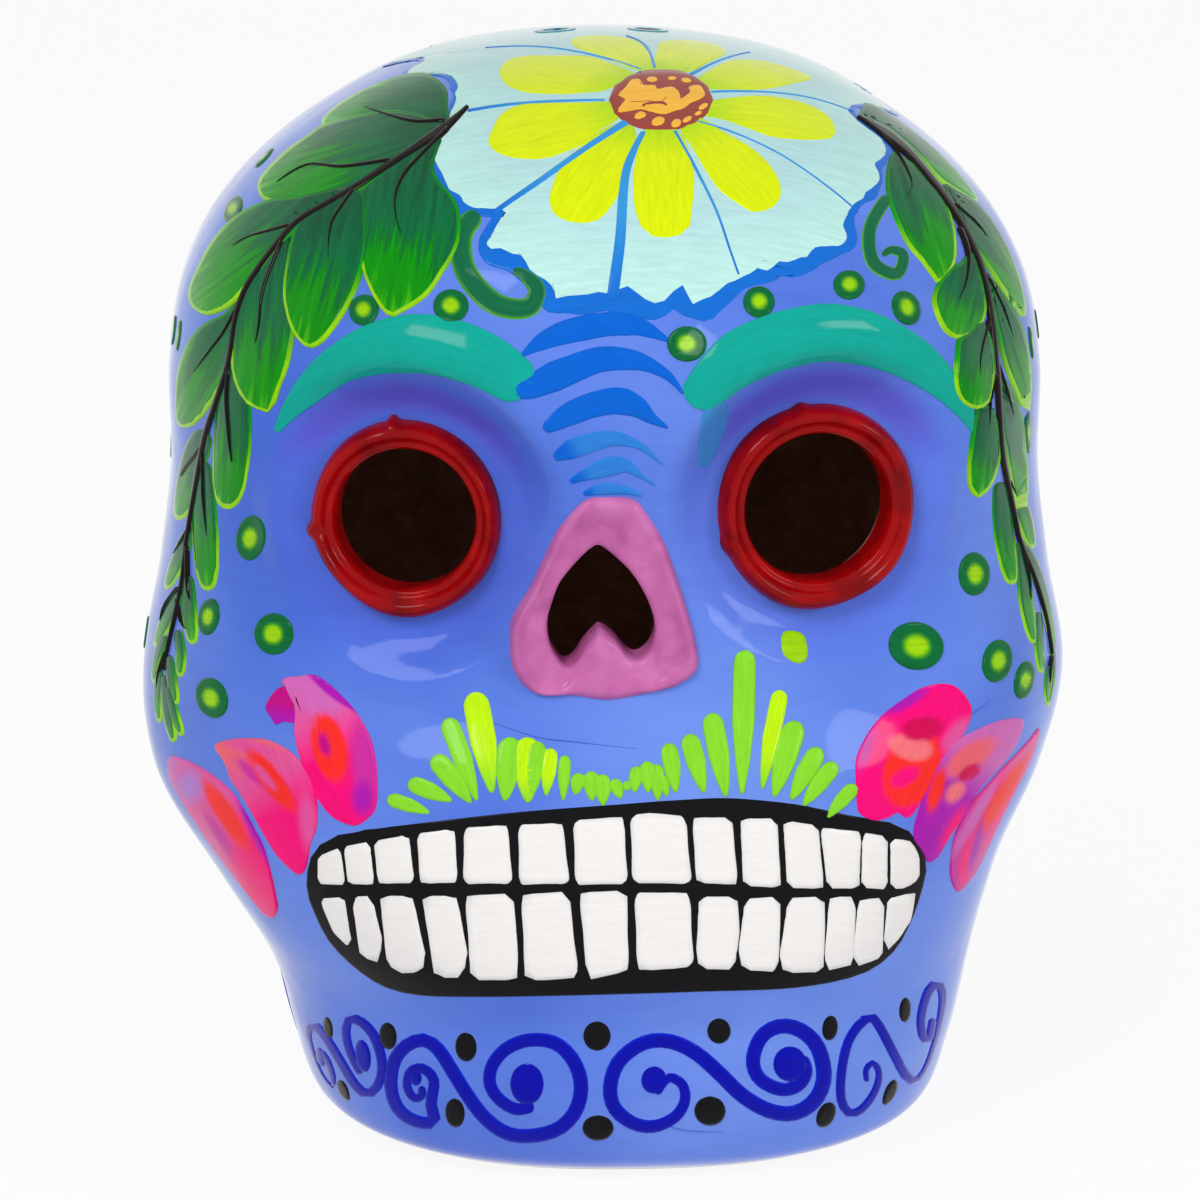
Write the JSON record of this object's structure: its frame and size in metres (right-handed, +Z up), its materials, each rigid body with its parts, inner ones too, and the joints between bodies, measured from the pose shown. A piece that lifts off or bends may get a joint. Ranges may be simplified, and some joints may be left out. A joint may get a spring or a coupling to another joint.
{
  "type": "sugar skull",
  "caption": "Hollow painted clay skull for the Day of the Dead, open below, with rolled clay rings round its eye holes and a frame round its heart-shaped nose hole.",
  "frame": {"origin": "on the table, under the middle of the skull's outer box, at the height of the standing rim", "axes": "+Z up from the standing rim to the crown, -Y the way the face looks, +X the skull's own left side"},
  "size_m": [0.0984, 0.1144, 0.114],
  "materials": {
    "glazed_shell": "periwinkle-blue paint and hand-painted ornament under a thick gloss varnish",
    "raw_clay": "unglazed low-fired brown clay",
    "red_ring": "deep red paint under gloss varnish",
    "pink_rim": "mauve-pink paint under gloss varnish"
  },
  "bodies": {
    "root": {"face_shell": "glazed_shell", "back_shell": "glazed_shell", "inner_seam_coil": "raw_clay", "left_eye_ring": "red_ring", "right_eye_ring": "red_ring", "nose_rim": "pink_rim"}
  },
  "joints": []
}
